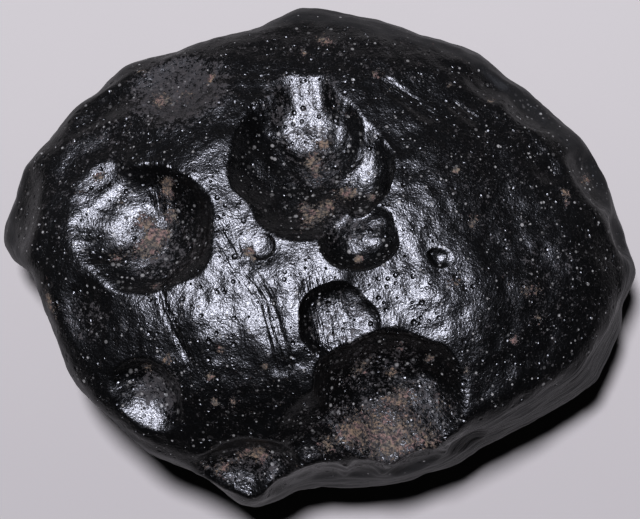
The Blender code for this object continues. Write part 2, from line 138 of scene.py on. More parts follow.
# Pits, as in the part's source but for three bowls added and some leaned, shifted or deepened: the
# face they open on (a well is sunk upright from the height of the crown), where (plan x, y on the
# top and base; bearing in degrees and height on a side), half length, half width, turn of the
# length in degrees, depth, the part of the full bubble that has been lost above the mouth (0 keeps
# half a bubble), the rounding of the rim, how far the pit leans in plan from square to the
# surface, and the power of its bowl (2 is round, 4 has a flat floor)
Pit = namedtuple(
    "Pit", "face u v length width turn depth lost rim lean power", defaults=((0, 0), 2.4)
)
PITS = (
    # the compound pit at the top: wide bowl, right bowl, lower right bowl, the deep scoop that
    # opens onto the upper flank, and the round bowl in the floor of the scoop
    Pit("top", -1.4, 6.0, 6.3, 5.0, 80, 2.1, 0.50, 0.7, (0.15, 0.25)),
    Pit("top", 2.9, 7.2, 4.0, 2.4, 98, 1.2, 0.55, 0.7, (-0.18, -0.3), 3.0),
    Pit("top", 2.9, 1.9, 3.0, 2.5, 0, 1.2, 0.50, 1.0, (0.05, -0.26)),
    Pit("well", -0.7, 11.7, 7.0, 3.7, 95, 5.9, 0.40, 0.8, (-0.04, 0.12), 2.2),
    Pit("well", -0.5, 9.1, 4.2, 3.8, 0, 5.85, 0.40, 0.4, (-0.04, 0.12), 2.2),
    # the large bowl of the left flank with the two dishes that widen it, the shallow bowl below
    # it, and the one at the lower left
    Pit("top", -12.2, 1.9, 5.1, 4.8, 0, 2.2, 0.50, 0.8, (0.04, 0.1)),
    Pit("top", -15.2, 3.6, 3.0, 2.6, 70, 0.6, 0.50, 1.4, (0.05, 0.2)),
    Pit("top", -11.0, 4.2, 2.8, 2.4, 20, 1.0, 0.50, 0.8, (0.0, 0.0)),
    Pit("top", -16.1, -3.8, 2.6, 2.0, 90, 0.4, 0.65, 0.7, (-0.25, 0)),
    Pit("top", -12.1, -9.8, 2.9, 2.4, -50, 1.3, 0.50, 0.5, (-0.05, 0.1)),
    # the middle bowl and the wide lower right one, with its two side bowls
    Pit("top", 1.9, -4.6, 3.0, 2.6, 0, 0.85, 0.50, 0.95, (-0.2, 0.04), 2.9),
    Pit("top", 5.2, -9.5, 5.5, 5.1, 0, 2.8, 0.50, 0.5, (-0.1, -0.2)),
    Pit("top", 0.0, -12.6, 3.4, 2.4, 70, 1.0, 0.55, 1.0),
    Pit("top", 8.8, -11.0, 1.6, 1.3, 90, 0.7, 0.50, 0.5),
    # the long pit on the lower edge
    Pit("top", -4.8, -15.1, 4.1, 2.3, 10, 1.4, 0.45, 0.5),
    # shallow dishes of the upper left flank
    Pit("top", -9.8, 12.4, 3.7, 2.5, 10, 0.6, 0.75, 0.8),
    Pit("top", -15.4, 10.6, 2.5, 1.4, 30, 0.3, 0.70, 0.8),
    Pit("top", -15.6, 7.3, 3.2, 2.3, 20, 0.35, 0.75, 0.9),
    # dimples
    Pit("top", 8.7, 0.0, 0.7, 0.7, 0, 0.2, 0.50, 0.5),
    Pit("top", -3.9, 0.8, 0.8, 0.8, 0, 0.15, 0.50, 0.6),
    # scallops along the right rim
    Pit("side", 46, 12.2, 1.8, 1.8, 0, 0.6, 0.50, 0.5),
    Pit("side", 35, 11.8, 2.5, 2.0, 0, 0.8, 0.50, 0.3),
    Pit("side", 16, 12.0, 2.8, 2.4, -10, 1.0, 0.50, 0.3),
    Pit("side", 4, 11.6, 1.8, 2.0, 0, 0.7, 0.50, 0.3),
    Pit("top", 17.0, 6.5, 1.7, 1.1, -60, 0.3, 0.50, 0.7),
    # the ledge under the left end, and the scallops along the crest of the lower edge
    Pit("side", 173, 13.2, 5.4, 2.4, 0, 0.9, 0.50, 0.7),
    Pit("side", -92, 15.0, 2.8, 3.6, 0, 0.7, 0.50, 0.12),
    Pit("side", -77, 15.5, 1.6, 3.2, 0, 0.75, 0.50, 0.12),
    Pit("side", -64, 15.0, 2.5, 3.2, 0, 0.75, 0.50, 0.12),
    Pit("side", -51, 14.0, 1.8, 2.8, 0, 0.6, 0.50, 0.12),
    # the walls below the girth
    Pit("side", 75, 6.2, 3.4, 2.4, 12, 0.8, 0.55, 0.9),
    Pit("side", 84, 5.0, 2.2, 1.8, 12, 0.9, 0.55, 0.8),
    Pit("side", 108, 7.6, 2.4, 1.8, -20, 0.5, 0.55, 0.8),
    Pit("side", 140, 5.0, 3.6, 2.2, 10, 0.9, 0.55, 0.9),
    Pit("side", -160, 5.4, 2.6, 1.8, 20, 0.7, 0.55, 0.8),
    Pit("side", -127, 5.2, 3.2, 2.1, -10, 0.9, 0.55, 0.9),
    Pit("side", -112, 4.6, 2.2, 2.0, -10, 0.7, 0.55, 0.8),
    Pit("side", -70, 5.4, 3.0, 1.8, 15, 0.6, 0.60, 1.0),
    Pit("side", -38, 4.8, 4.4, 2.3, 8, 0.9, 0.55, 0.9),
    Pit("side", 25, 5.4, 2.8, 2.2, -15, 0.8, 0.55, 0.8),
    Pit("side", -2, 6.2, 2.4, 1.6, 10, 0.5, 0.55, 0.9),
    # the underside, round the resting flat
    Pit("base", 13.4, 1.0, 4.2, 3.0, 60, 1.3, 0.55, 0.9),
    Pit("base", 13.6, 5.2, 2.4, 2.0, 60, 0.9, 0.55, 0.7),
    Pit("base", 5.8, 9.8, 3.4, 2.2, 10, 0.9, 0.55, 0.8),
    Pit("base", -4.6, 10.8, 4.4, 3.0, -10, 1.3, 0.55, 0.9),
    Pit("base", -9.0, 9.2, 2.2, 1.8, 0, 1.0, 0.50, 0.7),
    Pit("base", -13.6, 3.0, 3.2, 2.5, 70, 1.0, 0.55, 0.8),
    Pit("base", -11.2, -6.6, 3.8, 2.8, 35, 1.1, 0.55, 0.8),
    Pit("base", 1.4, -11.6, 3.6, 2.2, 5, 0.9, 0.55, 0.9),
    Pit("base", 5.6, -9.8, 1.8, 1.6, 0, 0.8, 0.50, 0.7),
    Pit("base", 11.0, -7.2, 2.4, 1.9, 40, 0.7, 0.55, 0.8),
)

# Clay left on the upper side: plan x, y, half length, half width in mm, turn in degrees, amount
# (1 is a full crust, less leaves the glass showing between grains) and how ochre it is, 0 to 1
Clay = namedtuple("Clay", "x y length width turn amount ochre")
CLAY = (
    # the compound pit
    Clay(0.6, 8.1, 0.36, 0.36, 0, 1.0, 0.6),
    Clay(-0.1, 6.6, 1.0, 0.6, 100, 0.8, 0.2),
    Clay(0.4, 3.2, 1.3, 0.5, 40, 0.85, 0.3),
    Clay(-0.7, 3.5, 0.5, 0.4, 80, 0.7, 0.1),
    Clay(2.4, 4.6, 0.6, 0.35, -10, 1.0, 0.5),
    Clay(1.9, 10.4, 0.9, 0.25, 0, 0.5, 0.2),
    Clay(4.0, 4.3, 0.26, 0.24, 0, 1.3, 0.1),
    Clay(3.1, -0.1, 0.26, 0.26, 0, 1.3, 0.2),
    # the left bowl
    Clay(-10.6, 5.3, 0.4, 0.35, 60, 1.0, 0.8),
    Clay(-10.6, 4.5, 0.4, 0.32, 0, 1.0, 0.7),
    Clay(-10.3, 3.0, 0.5, 0.45, 70, 0.8, 0.1),
    Clay(-12.1, 2.4, 0.8, 0.6, -30, 0.8, 0.4),
    Clay(-11.2, 1.4, 0.75, 0.35, 25, 1.0, 0.2),
    Clay(-11.9, 0.7, 0.85, 0.6, 15, 1.1, 0.2),
    Clay(-14.2, 0.0, 0.6, 0.4, 0, 0.5, 0.3),
    Clay(-15.6, 5.8, 0.35, 0.22, 35, 1.0, 0.3),
    Clay(-16.9, 4.7, 0.2, 0.15, 35, 1.0, 0.6),
    Clay(-11.3, -2.1, 0.3, 0.22, 40, 1.0, 0.5),
    Clay(-13.9, 4.0, 0.4, 0.3, 0, 0.5, 0.4),
    Clay(-19.1, -3.2, 0.22, 0.8, 20, 0.9, 0.3),
    # the wide lower right bowl
    Clay(4.2, -12.0, 2.6, 1.4, 5, 0.56, 0.6),
    Clay(6.4, -12.9, 1.7, 1.1, 15, 0.42, 0.2),
    Clay(5.2, -13.6, 1.3, 0.6, 10, 0.55, 0.2),
    Clay(2.5, -12.5, 0.6, 0.5, 20, 0.75, 1.0),
    Clay(6.1, -9.9, 1.0, 0.6, 20, 0.75, 0.3),
    Clay(5.5, -8.2, 0.35, 0.28, 0, 0.9, 0.7),
    Clay(3.3, -7.9, 0.8, 0.45, 40, 0.6, 0.4),
    Clay(6.1, -6.4, 0.35, 0.3, 0, 0.7, 0.1),
    Clay(8.1, -7.2, 0.3, 0.25, 0, 0.9, 0.4),
    Clay(9.0, -10.4, 0.4, 0.6, 0, 0.6, 0.1),
    Clay(8.3, -13.2, 0.7, 0.4, 20, 0.6, 0.4),
    Clay(0.8, -13.3, 0.6, 0.5, 0, 0.6, 0.2),
    # the long pit on the lower edge
    Clay(-3.9, -14.1, 0.55, 0.5, -50, 0.95, 0.6),
    Clay(-5.1, -14.1, 0.6, 0.35, 30, 0.7, 0.6),
    Clay(-6.7, -15.1, 0.7, 0.5, 60, 0.6, 0.5),
    Clay(-8.0, -14.8, 0.4, 0.3, 0, 0.5, 0.4),
    # the dishes of the upper left
    Clay(-11.0, 11.3, 0.7, 0.45, 10, 0.8, 0.4),
    Clay(-7.5, 12.9, 0.5, 0.25, 60, 0.8, 0.6),
    Clay(-9.3, 11.7, 0.5, 0.4, 0, 0.5, 0.3),
    Clay(-12.6, 13.5, 0.4, 0.3, 0, 0.45, 0.3),
    # the middle, the upper flank, the crown to the right and the lower left
    Clay(-4.7, 0.4, 0.3, 0.28, 0, 1.4, 0.3),
    Clay(-4.4, -0.1, 0.2, 0.16, 60, 1.2, 0.1),
    Clay(10.1, 6.2, 0.24, 0.22, 0, 1.2, 0.1),
    Clay(14.2, -5.9, 0.26, 0.24, 0, 1.2, 0.2),
    Clay(-7.1, -10.3, 0.26, 0.24, 0, 1.2, 0.3),
    Clay(0.7, 15.7, 0.6, 0.3, -20, 0.8, 0.5),
    Clay(-0.8, 14.8, 0.4, 0.2, -30, 0.7, 0.5),
    Clay(4.4, 13.2, 0.3, 0.3, 0, 0.7, 0.4),
    Clay(9.7, 12.5, 0.22, 0.22, 0, 0.9, 0.2),
    Clay(11.3, 2.5, 0.3, 0.5, -20, 0.85, 0.5),
    Clay(12.7, 11.3, 0.3, 0.2, 0, 0.8, 0.1),
    Clay(18.0, 4.7, 0.25, 0.25, 0, 0.9, 0.7),
    Clay(18.1, 4.0, 0.25, 0.3, 0, 0.8, 0.6),
    Clay(19.7, 5.6, 0.35, 0.35, 0, 0.8, 0.8),
    Clay(15.4, -2.4, 0.7, 0.45, 0, 0.65, 0.7),
    Clay(16.0, -4.4, 0.4, 0.3, 0, 0.6, 0.2),
    Clay(9.9, -1.8, 0.5, 0.3, 0, 0.6, 0.4),
    Clay(10.8, -8.0, 0.15, 0.35, 0, 0.8, 0.1),
    Clay(-10.5, -7.2, 0.3, 0.35, 0, 0.85, 0.6),
    Clay(-12.0, -7.8, 0.4, 0.3, 0, 0.6, 0.6),
    Clay(-6.7, -6.5, 0.35, 0.22, 0, 0.8, 0.5),
    Clay(-3.6, -7.7, 0.25, 0.25, 0, 0.9, 0.5),
    Clay(-7.4, -8.4, 0.3, 0.3, 0, 0.7, 0.2),
    Clay(-5.8, -10.3, 0.3, 0.3, 0, 0.7, 0.2),
)

# Thin dull film of fine soil: plan x, y, half length, half width in mm, turn in degrees, and
# amount (1 covers the glass, less leaves flecks)
Film = namedtuple("Film", "x y length width turn amount")
FILM = (
    Film(-9.9, 12.0, 3.8, 2.6, 14, 0.8),
    Film(-15.4, 8.4, 3.2, 2.2, 25, 0.32),
    Film(-10.9, 1.0, 3.4, 3.2, 0, 0.46),
    Film(-16.4, -4.4, 1.8, 1.8, 0, 0.4),
    Film(-11.2, -9.6, 1.9, 1.7, -50, 0.72),
    Film(4.6, -12.0, 4.4, 2.6, 0, 0.56),
    Film(4.9, -8.0, 3.6, 2.6, 0, 0.42),
    Film(7.6, -11.2, 2.6, 3.0, 0, 0.5),
    Film(8.8, -11.2, 1.4, 1.6, 0, 0.4),
    Film(0.2, -12.4, 1.6, 2.2, -20, 0.35),
    Film(-4.8, -14.8, 3.6, 1.6, 10, 0.5),
    Film(0.2, 6.6, 2.0, 2.6, 0, 0.42),
    Film(-0.4, 8.6, 2.2, 2.4, 0, 0.44),
    Film(-2.7, 11.0, 1.0, 2.4, 8, 0.46),
    Film(1.3, 12.0, 0.7, 1.3, 20, 0.42),
    Film(-0.9, 11.3, 1.5, 1.8, 0, 0.35),
    Film(1.9, -4.6, 2.4, 2.2, 0, 0.36),
    Film(2.2, 2.4, 2.4, 2.0, 0, 0.42),
    Film(-3.0, 3.4, 3.2, 2.4, -40, 0.2),
    Film(16.6, -1.6, 3.6, 4.6, 0, 0.27),
    Film(12.4, -6.6, 4.6, 4.0, 30, 0.16),
    Film(13.0, 6.0, 4.6, 5.0, -40, 0.24),
    Film(1.4, 14.8, 9.0, 1.8, -6, 0.26),
    Film(-5.0, -10.2, 4.2, 2.4, 0, 0.22),
    Film(5.4, -13.8, 1.8, 1.1, 10, 0.85),
    Film(-18.4, 3.6, 1.8, 2.8, 0, 0.28),
)

# Runs of fine grooves drawn in the glass as it set: points along the run (plan x, y in mm) and
# its half width
Run = namedtuple("Run", "half_width route")
RUNS = (
    Run(0.75, ((-6.7, 2.1), (-5.6, -0.3), (-4.5, -1.7), (-3.5, -3.2), (-2.9, -5.2), (-2.3, -7.6))),
    Run(0.3, ((-11.1, -2.1), (-10.7, -3.7), (-9.9, -5.3), (-8.8, -7.6))),
    Run(1.2, ((-11.2, 6.4), (-10.9, 4.6), (-10.7, 3.3))),
    Run(1.5, ((0.5, -2.6), (1.0, -4.6), (1.3, -6.6))),
    Run(0.5, ((5.2, 12.4), (7.1, 11.0), (8.2, 10.2))),
    Run(0.4, ((10.0, 10.9), (11.4, 9.9))),
)

# How the fields of the mesh come and go
UPPER_FADE = (-2, 1)  # height from the heart, mm, over which the upper side's soil comes in
PATCH_FALL = 0.7  # about half of a patch's amount is left at its rim
CLAY_EDGE = 2  # power of the fall at a patch's rim: the higher, the sharper
FILM_EDGE = 4
RUN_FADE = (0.6, 1.3)  # half widths from a run's middle over which its grooves fade out
WALL_BLUR = 4  # degrees
CREASE_FADE = (-0.5, 0.2)  # mm past the crease over which the smooth wall starts
WALL_FOOT = (-6, 0.5)  # height from the heart, mm, over which the wall fades downward
BANDS_START = (-62, -48)  # bearings, in degrees, over which the flow bands come in
BANDS_END = (8, -8)  # and those over which they go out, given from the bare side
FAINT_BANDS = 0.1  # what is left of the bands elsewhere
HOLLOW_DEPTHS = (0.2, 1.3)  # mm below the lump over which a point counts as in a hollow

# Noise of the skin and the soil: size of its features in mm, detail and roughness
Noise = namedtuple("Noise", "size detail rough", defaults=(0.5,))
GRAIN = Noise(0.16, 2.0, 0.7)  # the finest etching, which makes the sheen silky
NUBS = Noise(0.4, 2.0, 0.6)
SWELLS = Noise(1.6, 1.0)
GRIT = Noise(0.17, 3.0, 0.7)  # dark grains in the soil
CRUMBS = Noise(0.22, 4.0, 0.75)  # breaks up the clay
MOTES = Noise(0.14, 2.0, 0.7)  # breaks up the film
GATHERING = Noise(2.4, 2.0)  # where the pale specks lie closer
GROOVES_PER_MM = (2.6, 0.35, 1.0)  # lines across a run to the mm, and changes along it
BANDS_PER_MM = (0.35, 0.35, 3.2)  # long and nearly level
BAND_TILT = (0.25, 0.2, 0)  # radians

# Round bowls scattered one to a cell: the cell's size in mm, the share of cells left empty, and
# the radius of the widest bowl in cells.  What a bowl gives at a point: depth in it (0 outside),
# its radius in cells, and two chance values of its cell
Scatter = namedtuple("Scatter", "cell empty widest")
Bowl = namedtuple("Bowl", "depth radius chance other_chance")
ETCH_PITS = Scatter(0.5, 0.3, 0.27)
DIMPLES = Scatter(0.6, 0.3, 0.4)
RINGS = Scatter(1.1, 0.3, 0.22)  # flat pits, of which mostly the wall shows
SPECKS = Scatter(0.36, 0.3, 0.34)
BIG_SPECKS = Scatter(0.8, 0.35, 0.22)
FLECKS = Scatter(0.42, 0.05, 0.5)  # in the hollows only

# Heights in the skin, mm; etch pits and dimples for a bowl one cell in radius
GRAIN_HEIGHT = 0.038
NUB_HEIGHT = 0.042
SWELL_HEIGHT = 0.14
ETCH_DEPTH = 0.5
DIMPLE_DEPTH = 0.22
RING_DEPTH = 0.07
GROOVE_DEPTH = 0.15
BAND_HEIGHT = 0.22
CRUST_HEIGHT = 0.03
RING_WALL = (0.05, 0.5)  # depth in a ring's bowl over which its wall drops

# Where soil and grains show: the values between which each comes in.  What the soil gives at a
# point: dark grit, clay crust, haze of film, and how ochre the clay is
Soil = namedtuple("Soil", "grit crust haze ochre")
FULL_CLAY = 0.8  # clay thicker than this covers no more
CRUST_SHOWS = (0.42, 0.62)
FILM_SHOWS = (0.4, 0.75)
GRIT_SHOWS = (0.36, 0.66)
RED_SHOWS = (0.5, 0.9)
DUST_RIM = (0.1, 0.5)  # depth in an etch pit
DUSTY_SHARE = (0.6, 0.7)  # chance value from which an etch pit holds dust
GATHERED_SPECKS = (0.4, 0.62, 0.25, 1.3)  # the noise's ends, and how bright specks are at each

# Finish of the glass and of what lies on it
GLASS_IOR = 1.5
GLASS_ROUGHNESS = 0.32
SOIL_ROUGHNESS = 0.85
FILM_DULLNESS = 0.8
WALL_DULLNESS = 0.45
WALL_SMOOTHNESS = 0.6  # how much of the etching the steep wall goes without

# Colours, sRGB
GLASS = "#010101"
FILM_GRIT = "#110F0E"
FILM_PALE = "#211D1B"
CLAY_GRIT = "#191513"
CLAY_GREY = "#4B453A"
CLAY_OCHRE = "#5A4A39"
CLAY_RED = "#5A463F"
PALE_GRAIN = "#696763"
PIT_DUST = "#64625E"
# The paper's two tones are painted light: the darker toward -Y, the lighter toward +Y, a painted
# falloff of the lamp's light
PAPER_SHADED_TONE = "#7C7874"
PAPER_LIT_TONE = "#87837E"
ROOM = "#1A1B1D"

# Paper, lamp and camera
PAPER_REACH = 1.0  # m
PAPER_FALLOFF_SPAN = 26  # mm either side of the middle over which the paper's painted falloff of light runs
PAPER_ROUGHNESS = 0.9
PAPER_GLOSS = 0.15
LAMP_POWER = 8.2
LAMP_TINT = (0.89, 0.91, 1.05)
LAMP_WIDTH = 7.5  # degrees across, which softens the shadow's edge
LAMP_LEAN = (-13, -5, 0)  # turn from straight down, degrees
CAMERA_HEIGHT = 0.330  # m
FRAME_WIDTH = 0.04666  # m across the picture at the height of the girth
FRAME_SHIFT = -2.5 / 640  # of the picture's width
SENSOR = 36  # mm


def ball_mesh():
    bm = bmesh.new()
    bmesh.ops.create_cube(bm, size=2.0)
    bmesh.ops.subdivide_edges(bm, edges=bm.edges[:], cuts=GRID - 1, use_grid_fill=True)
    return bm


def read_points(bm):
    return np.array([vert.co for vert in bm.verts])


def read_normals(bm):
    return np.array([vert.normal for vert in bm.verts])


def write_points(bm, points):
    for vert, point in zip(bm.verts, points):
        vert.co = point
    bm.normal_update()


def unit(vectors):
    return vectors / np.linalg.norm(vectors, axis=-1, keepdims=True)


def ball_directions(points):
    """Cube grid to an even ball, drawn upward for a finer upper side."""
    spread = unit(np.tan(points * np.pi / 4))
    up = spread[:, 2] + UPWARD * (1 - spread[:, 2] ** 2)
    flat = np.sqrt(np.maximum(1 - up**2, 0))
    plan = spread[:, :2] / np.maximum(np.hypot(spread[:, 0], spread[:, 1]), TINY)[:, None]
    return np.column_stack((plan * flat[:, None], up))


def ease(low, high, values):
    """0 at low and before it, 1 at high and past it, and smooth between."""
    part = np.clip((values - low) / (high - low), 0, 1)
    return part * part * (3 - 2 * part)


def outline_radius(bearing, blur):
    """Plan radius at each bearing, averaged over a fan of the given half width in degrees."""
    knots = np.array(OUTLINE)
    angles = np.arctan2(knots[:, 1], knots[:, 0])
    radii = np.hypot(knots[:, 0], knots[:, 1])
    order = np.argsort(angles)
    total = np.zeros(len(bearing))
    for shift in np.radians(np.linspace(-blur, blur, FAN)):
        total += np.interp(bearing + shift, angles[order], radii[order], period=2 * np.pi)
    return total / FAN


def wall_width(bearing):
    """How wide the steep wall is at each bearing, seen from above, mm."""
    return np.interp(np.degrees(bearing), *np.array(WALL).T, period=360)


def domed(level, rise, radius, height, power):
    return ((level / radius) ** power + np.abs(rise / height) ** power) ** (-1 / power)


def domed_reach(ray):
    """How far the smooth lump lies from its heart along each ray, mm: dome, wall and base."""
    level, rise = np.hypot(ray[:, 0], ray[:, 1]), np.abs(ray[:, 2])
    bearing = np.arctan2(ray[:, 1], ray[:, 0])
    rough = 1 - ease(*NICK_FADE, np.degrees(np.arctan2(rise, level)))
    fine, soft, broad = (outline_radius(bearing, blur) for blur in OUTLINE_BLURS)
    side = rough * fine + (1 - rough) * soft
    dome_radius = broad + DOME_SPREAD
    width = wall_width(bearing)
    height = HEIGHT - HEART
    crease = height * (1 - ((side - width) / dome_radius) ** TOP_SHAPE) ** (1 / TOP_SHAPE)
    wall = side / (level + rise * width / crease)
    slanted = rise + ray[:, :2] @ np.array(DOME_SLANT)
    top = soft_least(domed(level, slanted, dome_radius, height, TOP_SHAPE), wall, WALL_RIM)
    foot = rough * fine + (1 - rough) * broad
    base = domed(level, rise, foot, HEART + REST_CUT, BASE_SHAPE)
    return np.where(ray[:, 2] > 0, top, base)


def waves(points, seed, shortest, longest):
    """A slow uneven field about one high, from waves crossing in every direction."""
    chance = np.random.default_rng(seed)
    total = np.zeros(len(points))
    for _ in range(WAVES):
        wave = unit(chance.normal(size=3)) * 2 * np.pi / chance.uniform(shortest, longest)
        total += np.sin(points @ wave + chance.uniform(0, PHASES))
    return total / np.sqrt(WAVES / 2)


def soft_least(first, second, rounding):
    """The lesser of two reaches, rounded over where they cross."""
    share = np.clip(0.5 + 0.5 * (second - first) / rounding, 0, 1)
    return second * (1 - share) + first * share - rounding * share * (1 - share)


def flat_reach(ray, flat):
    bearing, rise = np.radians((flat.bearing, flat.rise))
    face = np.array(
        (np.cos(bearing) * np.cos(rise), np.sin(bearing) * np.cos(rise), np.sin(rise))
    )
    return flat.reach / np.maximum(ray @ face, LEAST_FACING)


def mouth_index(points, pit):
    """The point of the smooth lump at the middle of a pit's mouth."""
    if pit.face == "side":
        bearing = np.degrees(np.arctan2(points[:, 1], points[:, 0]))
        turn = (bearing - pit.u + 180) % 360 - 180
        return np.argmin((turn * MM_PER_DEGREE) ** 2 + (points[:, 2] + HEART - pit.v) ** 2)
    wrong = points[:, 2] > 0 if pit.face == "base" else points[:, 2] < 0
    apart = (points[:, 0] - pit.u) ** 2 + (points[:, 1] - pit.v) ** 2
    return np.argmin(apart + FAR**2 * wrong)


def pit_axes(normal, pit):
    start = np.cross((0, 0, 1), normal) if pit.face == "side" else np.array((1.0, 0, 0))
    first = unit(start - normal * (start @ normal))
    second = np.cross(normal, first)
    turn = np.radians(pit.turn)
    along = first * np.cos(turn) + second * np.sin(turn)
    return np.array((along, np.cross(normal, along), normal))


def bubble(pit, mouth, normal):
    """The whole bubble that a pit is part of: its axes, half sizes and middle."""
    tall = pit.depth / (1 - pit.lost)
    wider = (1 - pit.lost**pit.power) ** (-1 / pit.power)
    sizes = np.array((pit.length * wider, pit.width * wider, tall))
    return pit_axes(normal, pit), sizes, mouth + normal * tall * pit.lost


def near_bubble(ray, middle, widest):
    """The rays that could meet the bubble."""
    apart = np.linalg.norm(middle)
    closest = np.sqrt(max(1 - (widest / apart) ** 2, 0))
    return np.flatnonzero(ray @ (middle / apart) > closest)


def entry_along(way, middle, power):
    """How far along each way a bubble of size one is entered, and which of the ways meet it."""

    def inside(along):
        spot = np.abs(way * along[:, None] - middle)
        return np.hypot(spot[:, 0], spot[:, 1]) ** power + spot[:, 2] ** power < 1

    high = np.maximum(way @ middle, TINY) / np.einsum("ij,ij->i", way, way)
    low = np.zeros(len(way))
    hit = inside(high)
    for _ in range(HALVINGS):
        halfway = (low + high) / 2
        within = inside(halfway)
        high = np.where(within, halfway, high)
        low = np.where(within, low, halfway)
    return high, hit


def pit_reach(ray, pit, mouth, normal):
    """How far each ray from the heart runs before it breaks into the pit's bubble."""
    axes, sizes, middle = bubble(pit, mouth, normal)
    near = near_bubble(ray, middle, BUBBLE_ROOM * sizes.max())
    along, hit = entry_along((ray[near] @ axes.T) / sizes, (axes @ middle) / sizes, pit.power)
    entry = np.full(len(ray), FAR)
    entry[near[hit]] = along[hit]
    return entry


def lump_reach(ray):
    """How far the lump lies from its heart along each ray, mm, with its swells and flats."""
    reach = domed_reach(ray)
    climb = np.degrees(np.arcsin(np.abs(ray[:, 2])))
    reach += ease(*SWELL_CLIMB, climb) * LUMP * waves(ray * reach[:, None], SEED, *LUMP_WAVES)
    for flat in FLATS:
        reach = soft_least(reach, flat_reach(ray, flat), flat.rim)
    return reach


def pit_mouths(bm, ray):
    """Where each pit opens on the lump, and which way the surface faces there."""
    points = ray * lump_reach(ray)[:, None]
    write_points(bm, points)
    found = [mouth_index(points, pit) for pit in PITS]
    bm.verts.ensure_lookup_table()
    mouths = []
    for pit, at in zip(PITS, found):
        mouth, normal = points[at], np.array(bm.verts[at].normal)
        if pit.face == "well":
            mouth, normal = np.array((pit.u, pit.v, HEIGHT - HEART)), np.array((0.0, 0, 1))
        mouths.append((mouth, unit(normal + np.array((*pit.lean, 0)))))
    return mouths


def wandered(points):
    """Points moved a little along the surface, so that no pit is a true oval."""
    broad = [waves(points, SEED + axis, *WANDER_WAVES) for axis in (1, 2, 3)]
    fine = [waves(points, SEED + axis, *FRAY_WAVES) for axis in (4, 5, 6)]
    return points + WANDER * np.column_stack(broad) + FRAY * np.column_stack(fine)


def stone_points(ray, mouths):
    """The carved surface along each ray: the lump, with every pit cut into it."""
    reach = lump_reach(ray)
    loose = unit(wandered(ray * reach[:, None]))
    for pit, (mouth, normal) in zip(PITS, mouths):
        reach = soft_least(reach, pit_reach(loose, pit, mouth, normal), pit.rim * CRISP)
    return ray * reach[:, None]


def soften(bm):
    """Draw each point halfway to the middle of its neighbours."""
    bmesh.ops.smooth_vert(
        bm, verts=bm.verts[:], factor=0.5, use_axis_x=True, use_axis_y=True, use_axis_z=True
    )


def even_out(bm, mouths):
    """Spread the points more evenly over the carved surface, a pass at a time."""
    for _ in range(RELAX):
        soften(bm)
        write_points(bm, stone_points(unit(read_points(bm)), mouths))


def relief(points, ripple, seed):
    return ripple.height * waves(points, SEED + seed, ripple.shortest, ripple.longest)


def skin_relief(points, normals):
    """How far the skin stands out from the carved form, mm: pillows, lumps and flank ledges."""
    flank = ease(*LEDGE_TILT, 1 - np.abs(normals[:, 2]))
    ledges = relief(points * LEDGE_SQUEEZE, LEDGES, 22)
    return relief(points, PILLOWS, 20) + relief(points, LUMPS, 21) + flank * ledges


def carve(bm):
    """Carve the stone in a ball's mesh, and give its points from the heart, mm."""
    ray = ball_directions(read_points(bm))
    mouths = pit_mouths(bm, ray)
    write_points(bm, stone_points(ray, mouths))
    even_out(bm, mouths)
    soften(bm)
    bm.normal_update()
    points, normals = read_points(bm), read_normals(bm)
    points += normals * skin_relief(points, normals)[:, None]
    points[:, 2] = np.maximum(points[:, 2], -HEART)
    return points


def seat(points):
    """Points from the heart, in mm, to metres in the box that the part fills."""
    floor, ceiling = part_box("tektite")
    low, high = points.min(axis=0), points.max(axis=0)
    share = (points - low) / (high - low)
    return np.array(floor) + share * (np.array(ceiling) - np.array(floor))


def upper_share(points):
    """1 on the upper side, fading out just under the girth."""
    return ease(*UPPER_FADE, points[:, 2])


def patch_share(points, patch, edge):
    """1 at the middle of a patch, falling off past its rim, the faster the higher edge is."""
    turn = math.radians(patch.turn)
    dx, dy = points[:, 0] - patch.x, points[:, 1] - patch.y
    along = (dx * math.cos(turn) + dy * math.sin(turn)) / patch.length
    across = (dy * math.cos(turn) - dx * math.sin(turn)) / patch.width
    return np.exp(-PATCH_FALL * np.hypot(along, across) ** edge)


def soil_fields(points):
    """Clay, how ochre it is, and dull film, at each point of the upper side."""
    clay, ochre, film = np.zeros((3, len(points)))
    for patch in CLAY:
        here = patch.amount * patch_share(points, patch, CLAY_EDGE)
        ochre += here * patch.ochre
        clay += here
    for patch in FILM:
        film = np.maximum(film, patch.amount * patch_share(points, patch, FILM_EDGE))
    upper = upper_share(points)
    return clay * upper, ochre / np.maximum(clay, TINY), film * upper


def form_fields(points):
    """Shares of the steep smooth wall, of its part that shows flow bands, and of the hollows."""
    level = np.hypot(points[:, 0], points[:, 1])
    bearing = np.arctan2(points[:, 1], points[:, 0])
    past_crease = level - outline_radius(bearing, WALL_BLUR) + wall_width(bearing)
    wall = ease(*CREASE_FADE, past_crease) * ease(*WALL_FOOT, points[:, 2])
    turn = np.degrees(bearing)
    banded = ease(*BANDS_START, turn) * ease(*BANDS_END, turn)
    sunk = lump_reach(unit(points)) - np.linalg.norm(points, axis=1)
    hollow = ease(*HOLLOW_DEPTHS, sunk) * upper_share(points)
    return wall, wall * (FAINT_BANDS + (1 - FAINT_BANDS) * banded), hollow


def run_place(points, run):
    """How far each point lies from a run of grooves, and how far across and along it, mm."""
    apart = np.full(len(points), FAR)
    across, along = np.zeros((2, len(points)))
    done = 0.0
    for start, end in zip(run.route[:-1], run.route[1:]):
        stretch = np.subtract(end, start)
        length = np.linalg.norm(stretch)
        way = stretch / length
        off = points[:, :2] - start
        ahead = off @ way
        here = np.linalg.norm(off - np.clip(ahead, 0, length)[:, None] * way, axis=1)
        nearer = here < apart
        apart = np.where(nearer, here, apart)
        across = np.where(nearer, off[:, 0] * way[1] - off[:, 1] * way[0], across)
        along = np.where(nearer, done + ahead, along)
        done += length
    return apart, across, along


